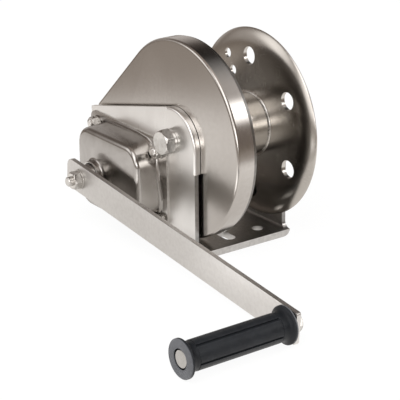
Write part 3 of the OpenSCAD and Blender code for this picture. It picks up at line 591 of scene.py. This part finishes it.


# Moulded rubber of the grip: fine grain, blotches, smears, paler towards both ends, and paler rubbed
# edges
def makeGripRubber():
    look = {"deep": (0.006, 0.007, 0.009), "raised": (0.012, 0.014, 0.017), "pale": (0.07, 0.073, 0.08),
            "paleEnds": (0.15, 0.153, 0.165), "roughness": 0.36, "gloss": 0.25, "wear": 0.4,
            "grainScale": 2600.0, "blotchScale": 45.0, "smearScale": 90.0, "smearAlong": (0.3, 1, 1),
            "smearRoughness": 0.22, "bump": 0.35, "depth": 0.00006,
            "frontEnd": 1.2 * mm, "rearEnd": 2.2 * mm, "endFade": 0.7 * mm}
    finish, tree, shader, place = newFinish("gripRubber")
    blotches = noise(tree, place, look["blotchScale"], 4.0, 0.6)
    tone = blended(tree, ramp(tree, blotches, [(0.3, 0.0), (0.7, 1.0)]), look["deep"], look["raised"])
    x = axes(tree, place)[0]
    low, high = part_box("hand_grip")
    into = (math2(tree, 'SUBTRACT', low.x + look["frontEnd"], x),
            math2(tree, 'SUBTRACT', x, high.x - look["rearEnd"]))
    front, rear = (math2(tree, 'DIVIDE', depth, look["endFade"], clamp=True) for depth in into)
    uneven = ramp(tree, blotches, [(0.2, 0.7), (0.6, 1.0)])
    ends = times(tree, math2(tree, 'MAXIMUM', front, rear), uneven)
    # Paler towards both ends of the grip
    tone = blended(tree, ends, tone, look["paleEnds"])
    wear = grouped(tree, wearGroup, Color=tone, Rubbed=look["pale"], Amount=look["wear"], Vector=place)
    tree.links.new(wear.outputs['Color'], shader.inputs['Base Color'])
    smears = noise(tree, stretched(tree, place, look["smearAlong"]), look["smearScale"], 3.0, 0.5)
    rough = plus(tree, look["roughness"], times(tree, smears, look["smearRoughness"]))
    tree.links.new(rough, shader.inputs['Roughness'])
    bumped(tree, shader, noise(tree, place, look["grainScale"], 3.0, 0.6), look["bump"], look["depth"])
    shader.inputs['Specular IOR Level'].default_value = look["gloss"]
    return finish


# Pressed friction lining with flecks of fibre
def makeLining():
    look = {"base": (0.13, 0.085, 0.055), "light": (0.26, 0.19, 0.13), "fleck": (0.5, 0.42, 0.3),
            "toneScale": 420.0, "fleckScale": 1500.0, "roughness": 0.8, "bump": 0.4, "depth": 0.0001}
    finish, tree, shader, place = newFinish("frictionLining")
    tone = blended(tree, noise(tree, place, look["toneScale"], 4.0, 0.6), look["base"], look["light"])
    fibres = noise(tree, place, look["fleckScale"], 2.0, 0.5)
    tone = blended(tree, ramp(tree, fibres, [(0.62, 0.0), (0.68, 1.0)]), tone, look["fleck"])
    tree.links.new(tone, shader.inputs['Base Color'])
    shader.inputs['Roughness'].default_value = look["roughness"]
    bumped(tree, shader, fibres, look["bump"], look["depth"])
    return finish


finishes["gripRubber"] = makeGripRubber()
finishes["frictionLining"] = makeLining()

slotFinish = {"frame": "brushedPlate", "cover_sheet": "satinCover", "drum_steel": "polishedDrum",
              "gear_steel": "gearSteel", "machined_steel": "turnedSteel", "fasteners": "boltSteel",
              "crank_bar": "flatBar", "bronze": "bushBronze", "friction_lining": "frictionLining",
              "grip_rubber": "gripRubber"}
for node, piece in frame["nodes"].items():
    for slot in piece.material_slots:
        slot.material = finishes[slotFinish[slotOf[node]]]
frame["nodes"]["pawl_spring"].material_slots[0].material = finishes["springWire"]


# Deep-drawn cover of the gears: a hull of three discs, drawn round at the front and open at the rear
def makeGearCover():
    size = {"topRadius": 8 * mm, "lowRadius": 20 * mm, "slope": math.radians(42.5), "sheet": 1.5 * mm,
            "drawn": 3.2 * mm, "drawnSteps": 7, "spacerHole": 15.4 * mm, "bushHole": 16 * mm,
            "edge": 0.3 * mm, "sides": (256, 64, 96), "flat": math.radians(0.5), "hair": 0.01 * mm}
    low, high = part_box("gear_cover")
    radius, topRadius, lowRadius = (high.z - low.z) / 2, size["topRadius"], size["lowRadius"]
    centreY, centreZ = low.y + radius, (low.z + high.z) / 2
    topY, slope = high.y - topRadius, size["slope"]
    rise = (radius - topRadius - math.sin(slope) * (topY - centreY)) / math.cos(slope)
    discs = [(radius, centreY, centreZ), (topRadius, topY, centreZ + rise),
             (lowRadius, high.y - lowRadius, low.z + lowRadius)]
    cover = joined([rod(low.x, high.x, *disc, sides) for disc, sides in zip(discs, size["sides"])],
                   "gearCoverShell")
    editOn(cover)
    bpy.ops.mesh.select_all(action='SELECT')
    bpy.ops.mesh.convex_hull()
    bpy.ops.mesh.select_all(action='SELECT')
    bpy.ops.mesh.dissolve_limited(angle_limit=size["flat"])
    pick(cover, 'FACE', lambda face: face.normal.x > 0.9)
    bpy.ops.mesh.delete(type='FACE')
    pickEdges(cover, lambda co: co.x < low.x + size["hair"])
    bpy.ops.mesh.bevel(offset=size["drawn"], segments=size["drawnSteps"], affect='EDGES')
    editOff()
    outwards(cover)
    applied(cover, 'SOLIDIFY', thickness=size["sheet"], offset=-1, use_even_offset=True)
    x0, x1 = low.x - mm, low.x + 3 * size["sheet"]
    cutBy(cover, [rod(x0, x1, size["spacerHole"], *drumAxis), rod(x0, x1, size["bushHole"], *shaftAxis)])
    eased(cover, size["edge"])
    fitted(cover, "gear_cover", finishes["satinCover"])


makeGearCover()
print("gear cover done")


# A rounded rectangle that faces the crank side, as a sheet or as its outline only
def roundedPlate(name, x, y0, y1, z0, z1, corner, filled):
    bpy.ops.mesh.primitive_plane_add(size=1, location=(x, (y0 + y1) / 2, (z0 + z1) / 2),
                                     rotation=(0, -math.pi / 2, 0))
    bpy.context.object.scale = (z1 - z0, y1 - y0, 1)
    plate = placed(name)
    editOn(plate, 'VERT')
    bpy.ops.mesh.select_all(action='SELECT')
    bpy.ops.mesh.bevel(offset=corner, segments=8, affect='VERTICES')
    if not filled:
        bpy.ops.mesh.select_all(action='SELECT')
        bpy.ops.mesh.delete(type='ONLY_FACE')
    editOff()
    return plate


# Deep-drawn cover of the brake: flange, drafted box, and the neck round the crank hub
def makeBrakeCover():
    size = {"sheet": 1.5 * mm, "flangeCorner": 8 * mm, "neckLength": 6 * mm, "frontCorner": 20 * mm,
            "footCorner": 26 * mm, "frontInset": 14.5 * mm, "frontDrop": 8 * mm, "footInset": 15.7 * mm,
            "footDrop": 3.2 * mm, "lowCornerShift": (0, -6.7 * mm, 8.3 * mm), "frontRound": 4.5 * mm,
            "frontSteps": 7, "footRound": 3.2 * mm, "footSteps": 4, "rim": 2.0 * mm,
            "neckFoot": 19.5 * mm, "neckSides": 72, "washerRoom": 12.75 * mm,
            "stud": 4.1 * mm, "studSides": 48, "studInset": 12 * mm,
            "neck": [(-0.2, 18.4), (-0.9, 17.3), (-2.0, 16.7), (-3.4, 16.5), (-5.0, 16.5), (-5.7, 16.2),
                     (-6.0, 15.6), (-6.0, 14.5)]}
    low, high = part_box("brake_cover")
    hair, name = 0.01 * mm, "brakeCoverShell"
    plateX, frontX = high.x - size["sheet"], low.x + size["neckLength"]
    middleY, middleZ = (low.y + high.y) / 2, (low.z + high.z) / 2

    def outline(part, x, inset, drop, corner, filled):
        return roundedPlate(part, x, low.y + inset, high.y - inset, low.z + drop, high.z - drop,
                            corner, filled)

    cover = outline(name, frontX, size["frontInset"], size["frontDrop"], size["frontCorner"], True)
    foot = outline("foot", plateX, size["footInset"], size["footDrop"], size["footCorner"], False)
    pick(foot, 'VERT', lambda vertex: vertex.co.y < middleY and vertex.co.z < middleZ)
    bpy.ops.transform.translate(value=size["lowCornerShift"])
    editOff()
    cover = joined([cover, foot], name)
    depths = [vertex.co.x for vertex in cover.data.vertices]
    pick(cover, 'EDGE', lambda edge: abs(depths[edge.vertices[0]] - depths[edge.vertices[1]]) < hair)
    bpy.ops.mesh.bridge_edge_loops()
    pickEdges(cover, lambda co: co.x < frontX + hair)
    bpy.ops.mesh.bevel(offset=size["frontRound"], segments=size["frontSteps"], affect='EDGES')
    editOff()
    cover = joined([cover, outline("flange", plateX, 0, 0, size["flangeCorner"], False)], name)
    pickEdges(cover, lambda co: co.x > plateX - hair)
    bpy.ops.mesh.bridge_edge_loops()
    rim = size["rim"]
    pickEdges(cover, lambda co: co.x > plateX - hair and low.y + rim < co.y < high.y - rim
              and low.z + rim < co.z < high.z - rim)
    bpy.ops.mesh.bevel(offset=size["footRound"], segments=size["footSteps"], affect='EDGES')
    pick(cover, 'FACE', lambda face: face.center.x < frontX + hair and abs(face.normal.x) > 0.999)
    bpy.ops.mesh.delete(type='ONLY_FACE')
    editOff()
    neckFoot = size["neckFoot"]
    bpy.ops.mesh.primitive_circle_add(vertices=size["neckSides"], radius=neckFoot,
                                      location=(frontX, *shaftAxis), rotation=(0, -math.pi / 2, 0))
    cover = joined([cover, placed("neckFoot")], name)
    pickEdges(cover, lambda co: co.x < frontX + hair)
    bpy.ops.mesh.bridge_edge_loops()
    pickEdges(cover, lambda co: (co.yz - shaft.yz).length < neckFoot + hair and co.x < frontX + hair)
    drawnOut(shaftAxis, 0, neckFoot / mm, size["neck"])
    editOff()
    outwards(cover)
    applied(cover, 'SOLIDIFY', thickness=size["sheet"], offset=-1, use_even_offset=True)
    x0, x1, inset = plateX - mm, high.x + mm, size["studInset"]
    holes = [rod(x0, x1, size["washerRoom"], *drumAxis)]
    for y in (low.y + inset, high.y - inset):
        for z in (low.z + inset, high.z - inset):
            holes.append(rod(x0, x1, size["stud"], y, z, size["studSides"]))
    cutBy(cover, holes)
    cleaned(cover)
    shaded(cover)
    fitted(cover, "brake_cover", finishes["drawnCover"])


makeBrakeCover()
print("brake cover done")


# Outer flange: a shallow dish with a flared rim and holes drawn through towards the wall
def makeOuterFlange():
    size = {"front": [(0, 50), (0.05, 62), (0.2, 70), (0.42, 76), (0.75, 80), (1.2, 83.5), (1.85, 86.8),
                      (2.7, 89.7), (3.75, 92.3), (4.95, 94.6), (6.2, 96.5), (7.3, 97.8)],
            "back": [(7.8, 97.98), (8.25, 97.85), (8.45, 97.3), (7.9, 96.2), (6.9, 94.5), (5.8, 92.2),
                     (4.9, 89.7), (4.2, 86.8), (3.7, 83.5), (3.35, 80), (3.15, 76), (3.05, 70), (3, 62),
                     (3, 50)],
            "sheet": 3, "bushPlay": 0.05, "sides": 192, "holeSides": 64, "cut": (-2, 9),
            "holes": 6, "phase": 88.4, "holeCircle": 70.5, "hole": 9.2,
            "collar": 10.9, "collarRange": (1.5, 4.4),
            "ropeAngle": 60, "ropeHoles": (57.5, 76), "ropeHole": 5}
    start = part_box("drum_flange_outer")[0].x
    bushLow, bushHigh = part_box("drum_bushes")
    bore = (bushHigh.z - bushLow.z) / 2 / mm + size["bushPlay"]
    profile = [(0, bore)] + size["front"] + size["back"] + [(size["sheet"], bore)]
    flange = lathed("outerFlange", start, drumAxis, profile, size["sides"])

    def hole(angle, far, radius, span):
        turn = math.radians(angle)
        x0, x1 = (start + end * mm for end in span)
        y, z = axle.y + far * mm * math.cos(turn), axle.z + far * mm * math.sin(turn)
        return rod(x0, x1, radius * mm, y, z, size["holeSides"])

    def ring(radius, span):
        angles = [size["phase"] + step * 360 / size["holes"] for step in range(size["holes"])]
        return [hole(angle, size["holeCircle"], radius, span) for angle in angles]

    collars = joined(ring(size["collar"], size["collarRange"]), "collars")
    applied(flange, 'BOOLEAN', operation='UNION', solver='EXACT', object=collars)
    bpy.data.objects.remove(collars)
    ropeHoles = [hole(size["ropeAngle"], far, size["ropeHole"], size["cut"]) for far in size["ropeHoles"]]
    cutBy(flange, ring(size["hole"], size["cut"]) + ropeHoles)
    cleaned(flange)
    shaded(flange)
    fitted(flange, "drum_flange_outer", finishes["polishedDrum"])


makeOuterFlange()
print("outer flange done")


# Fillet welds where the barrel meets its two flanges
def makeWelds():
    size = {"leg": 1.9, "bulge": 0.25, "sink": 0.2, "face": (0.3, 0.36, 0.8), "sides": 128, "smooth": 40}
    low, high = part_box("drum_barrel")
    radius = (high.z - low.z) / 2 / mm
    leg, sink = size["leg"], size["sink"]
    near, middleLeg, far = (leg * share for share in size["face"])
    middleLeg += size["bulge"]
    face = [(leg, -sink), (far, near), (middleLeg, middleLeg), (near, far), (-sink, leg), (-sink, -sink)]
    for name, start, way in (("weldOuter", high.x, -1), ("weldInner", low.x, 1)):
        profile = [(way * along, radius + out) for along, out in face]
        bead = lathed(name, start, drumAxis, profile, size["sides"])
        bpy.ops.object.shade_smooth_by_angle(angle=math.radians(size["smooth"]))
        added(bead, "drum_barrel", finishes["weldBead"])


makeWelds()


# Threaded and domed ends of the studs and bolts that stand out of their nuts
def makeStudTips():
    size = {"pitch": 1.25, "depth": 0.45, "proud": 0.05, "tooth": (0.12, 0.5, 0.88),
            "root": -0.6, "core": 0.5, "shortest": 0.4, "shaftEnd": 5.0, "axle": 8.0, "stud": 4.0,
            "domeLength": 1.3, "domeFoot": (-1.17, 0.1),
            "dome": [(-0.585, 0.8), (-0.13, 0.5), (0.05, 0.15)], "tip": (0.06, 0.02),
            "sides": 48, "smooth": 32}
    pitch = size["pitch"]
    footX, footOut = size["domeFoot"]
    tipX, tipRadius = size["tip"]
    low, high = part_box("cover_studs")
    reach = size["stud"] * mm
    tips = [("crank_shaft", "crank_nut", -1, size["shaftEnd"], shaftAxis),
            ("axle_bolt", "axle_nut", 1, size["axle"], drumAxis)]
    for y in (low.y + reach, high.y - reach):
        for z in (low.z + reach, high.z - reach):
            tips.append(("cover_studs", "cover_nuts", -1, size["stud"], (y, z)))
    for index, (node, nut, way, radius, axis) in enumerate(tips):
        side = 0 if way < 0 else 1
        root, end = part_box(nut)[side].x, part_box(node)[side].x
        length = abs(end - root) / mm
        if length < size["shortest"]:
            continue
        crest, valley, at = radius + size["proud"], radius - size["depth"], size["root"]
        tooth = list(zip(size["tooth"], (crest, valley, crest)))
        points = [(at, size["core"]), (at, crest)]
        while at + pitch < length - size["domeLength"]:
            points += [(at + pitch * share, out) for share, out in tooth]
            at += pitch
        points.append((length + footX, valley + footOut))
        points += [(length + x, radius * share) for x, share in size["dome"]]
        points.append((length + tipX, tipRadius))
        tip = lathed("studTip%d" % index, root, axis, [(way * x, r) for x, r in points], size["sides"])
        bpy.ops.object.shade_smooth_by_angle(angle=math.radians(size["smooth"]))
        added(tip, node, finishes["boltSteel"])


makeStudTips()
print("welds and stud tips done")


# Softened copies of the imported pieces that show
showing = {
    "frame": (0.5, "brushedPlate"), "crank_arm": (0.5, "flatBar"), "axle_bolt": (0.4, "forgedBolt"),
    "axle_nut": (0.4, "boltSteel"), "cover_nuts": (0.3, "boltSteel"),
    "cover_washers": (0.25, "boltSteel"), "axle_washers": (0.4, "boltSteel"),
    "crank_nut": (0.35, "boltSteel"), "crank_washer": (0.3, "boltSteel"), "grip_pin": (0.3, "pinSteel"),
    "grip_nut": (0.4, "boltSteel"), "crank_hub": (0.4, "turnedSteel"), "hand_grip": (0.5, "gripRubber"),
    "drum_flange_inner": (0.5, "shadedInnerDisc"), "drum_barrel": (0.3, "polishedDrum")}
for node, (width, finish) in showing.items():
    easedCopy(node, width * mm, finishes[finish])
    print("softened", node)


# Camera at the photograph's place
view = {"place": (-0.8603, -1.2335, 0.5883), "ahead": (0.5413, 0.7633, -0.3528),
        "across": (0.8134, -0.5816, -0.0102), "focal": 1518.3, "frame": 400.0, "sensor": 36.0,
        "nearest": 0.05, "farthest": 60.0}
cameraData = bpy.data.cameras.new("camera")
camera = bpy.data.objects.new("camera", cameraData)
scene.collection.objects.link(camera)
ahead = Vector(view["ahead"]).normalized()
across = Vector(view["across"])
across = (across - across.dot(ahead) * ahead).normalized()
turn = Matrix((across, across.cross(ahead), -ahead)).transposed()
camera.matrix_world = Matrix.Translation(view["place"]) @ turn.to_4x4()
cameraData.sensor_width = view["sensor"]
cameraData.lens = view["focal"] / view["frame"] * view["sensor"]
cameraData.clip_start = view["nearest"]
cameraData.clip_end = view["farthest"]
scene.camera = camera


# Light that a surface or the sky gives, its colour a value or a socket
def shining(tree, kind, colour, strength=1.0):
    node = put(tree, kind, Strength=strength)
    if isinstance(colour, tuple):
        node.inputs['Color'].default_value = (*colour, 1)
    else:
        tree.links.new(colour, node.inputs['Color'])
    return node.outputs[0]


# The first shader where the factor is 0 and the second where it is 1
def mixed(tree, factor, first, second):
    node = tree.nodes.new('ShaderNodeMixShader')
    for socket, value in zip(node.inputs, (factor, first, second)):
        tree.links.new(value, socket)
    return node.outputs[0]


# 1 for the rays of reflections and of light through glass, 0 for the others
def mirrorRay(tree, ray):
    return math2(tree, 'MAXIMUM', ray.outputs['Is Glossy Ray'], ray.outputs['Is Transmission Ray'])


# Pale floor: white to the camera, and to reflections a painted pool of light that glows: dimmer right
# round the winch as painted shadow, brightest a little way off and falling off away from the winch, with
# a painted bright spot
def makeFloor():
    look = {"size": 12.0, "drop": 0.0004, "shown": 1.04, "shade": 0.10, "colour": (0.80, 0.79, 0.78),
            # glint: a painted bright spot on the floor that reflections see
            "glint": {"place": (-0.235, -0.145, 0), "reach": 0.09, "strength": 1.5,
                      "fade": [(0.35, 1.0), (1.0, 0.0)]},
            # reach and falloff: the painted pool of light, its dim middle a painted shadow
            "reach": 2.0, "falloff": [
                (0.0, (0.86, 0.83, 0.80)), (0.07, (0.86, 0.83, 0.80)), (0.12, (0.99, 0.96, 0.93)),
                (0.17, (1.14, 1.11, 1.08)), (0.22, (1.12, 1.09, 1.06)), (0.27, (0.47, 0.42, 0.38)),
                (0.40, (0.43, 0.38, 0.34)), (0.75, (0.28, 0.235, 0.20)), (1.0, (0.23, 0.19, 0.16))]}
    bpy.ops.mesh.primitive_plane_add(size=look["size"], location=(0, 0, -look["drop"]))
    floor = placed("floor")
    finish = bpy.data.materials.new("paleFloor")
    finish.use_nodes = True
    tree = finish.node_tree
    tree.nodes.clear()
    leave = tree.nodes.new('ShaderNodeOutputMaterial')
    ray = tree.nodes.new('ShaderNodeLightPath')
    place = tree.nodes.new('ShaderNodeTexCoord').outputs['Object']

    def farFrom(point, reach, fade):
        away = put(tree, 'ShaderNodeVectorMath', operation='DISTANCE')
        tree.links.new(place, away.inputs[0])
        away.inputs[1].default_value = point
        return ramp(tree, math2(tree, 'DIVIDE', away.outputs['Value'], reach), fade)

    glint = look["glint"]
    # Painted light and shade for reflections: the pool, its shadowed middle and the bright spot
    paintedPool = farFrom((0, 0, 0), look["reach"], look["falloff"])
    paintedSpot = times(tree, farFrom(glint["place"], glint["reach"], glint["fade"]), glint["strength"])
    paintedTable = shining(tree, 'ShaderNodeEmission', blended(tree, 1.0, paintedPool, paintedSpot, 'ADD'))
    white = shining(tree, 'ShaderNodeEmission', (1, 1, 1), look["shown"])
    matt = tree.nodes.new('ShaderNodeBsdfDiffuse')
    matt.inputs['Color'].default_value = (*look["colour"], 1)
    seen = times(tree, ray.outputs['Is Camera Ray'], 1 - look["shade"])
    shown = mixed(tree, mirrorRay(tree, ray), mixed(tree, seen, matt.outputs[0], white), paintedTable)
    tree.links.new(shown, leave.inputs['Surface'])
    floor.data.materials.append(finish)


makeFloor()


# World: white to the camera, even light on matt surfaces, and to reflections a dim studio with soft lamps
def makeWorld():
    look = {"even": 0.55, "tint": (1.0, 0.84, 0.74),
            "room": [(0.0, 0.25), (0.10, 0.24), (0.26, 0.26), (0.62, 0.20), (0.80, 0.20), (1.0, 0.5)],
            "lamps": {
                "window": {"way": (0.57, -0.66, 0.49), "inner": 5, "outer": 12, "strength": 3.2},
                "ceiling": {"way": (0.45, -0.35, 0.82), "inner": 8, "outer": 38, "strength": 0.42},
                "left": {"way": (-0.56, -0.34, 0.75), "inner": 14, "outer": 26, "strength": 1.9},
                "side": {"way": (-0.87, -0.38, 0.30), "inner": 10, "outer": 28, "strength": 1.7},
                "front": {"way": (-0.57, -0.81, 0.11), "inner": 5, "outer": 14, "strength": 4.5},
                "backLeft": {"way": (-0.60, 0.76, 0.25), "inner": 8, "outer": 26, "strength": 0.30},
                "behind": {"way": (0.35, 0.93, 0.05), "inner": 10, "outer": 34, "strength": 0.40},
                "far": {"way": (-0.75, 0.45, 0.50), "inner": 10, "outer": 24, "strength": 1.3}},
            "hollow": {"way": (0.57, 0.30, 0.77), "inner": 12, "outer": 34, "keep": 0.12}}
    world = bpy.data.worlds.new("studio")
    scene.world = world
    world.use_nodes = True
    tree = world.node_tree
    tree.nodes.clear()
    leave = tree.nodes.new('ShaderNodeOutputWorld')
    way = tree.nodes.new('ShaderNodeTexCoord').outputs['Generated']

    # A round patch about a direction, full to the inner angle and gone at the outer one
    def patch(lamp):
        near = put(tree, 'ShaderNodeVectorMath', operation='DOT_PRODUCT')
        tree.links.new(way, near.inputs[0])
        near.inputs[1].default_value = Vector(lamp["way"]).normalized()
        inner, outer = (math.cos(math.radians(lamp[edge])) for edge in ("inner", "outer"))
        return ramp(tree, near.outputs['Value'], [(outer, 0.0), (inner, 1.0)])

    dim = times(tree, patch(look["hollow"]), 1 - look["hollow"]["keep"])
    light = times(tree, ramp(tree, axes(tree, way)[2], look["room"]), math2(tree, 'SUBTRACT', 1.0, dim))
    total = blended(tree, 1.0, look["tint"], light, 'MULTIPLY')
    for lamp in look["lamps"].values():
        total = blended(tree, 1.0, total, times(tree, patch(lamp), lamp["strength"]), 'ADD')
    ray = tree.nodes.new('ShaderNodeLightPath')
    room = shining(tree, 'ShaderNodeBackground', total)
    even = shining(tree, 'ShaderNodeBackground', (1, 1, 1), look["even"])
    white = shining(tree, 'ShaderNodeBackground', (1, 1, 1))
    lighting = mixed(tree, mirrorRay(tree, ray), even, room)
    tree.links.new(mixed(tree, ray.outputs['Is Camera Ray'], lighting, white), leave.inputs['Surface'])


makeWorld()


# The lamps light matt surfaces and cast the shadow: reflections see the patches of the world instead
def softbox(name, place, wide, tall, power):
    aim = Vector((0, 0, 0.1))
    data = bpy.data.lights.new(name, 'AREA')
    data.shape = 'RECTANGLE'
    data.size = wide
    data.size_y = tall
    data.energy = power
    lamp = bpy.data.objects.new(name, data)
    scene.collection.objects.link(lamp)
    lamp.location = place
    lamp.rotation_euler = (aim - Vector(place)).to_track_quat('-Z', 'Y').to_euler()
    lamp.visible_glossy = False


softbox("keyBox", (-1.2, -0.9, 1.7), 1.2, 1.2, 26)
softbox("sideBox", (1.3, -1.6, 1.1), 1.2, 0.8, 14)
softbox("backBox", (-0.3, 2.0, 1.2), 1.6, 0.8, 12)

scene.view_settings.view_transform = 'Standard'
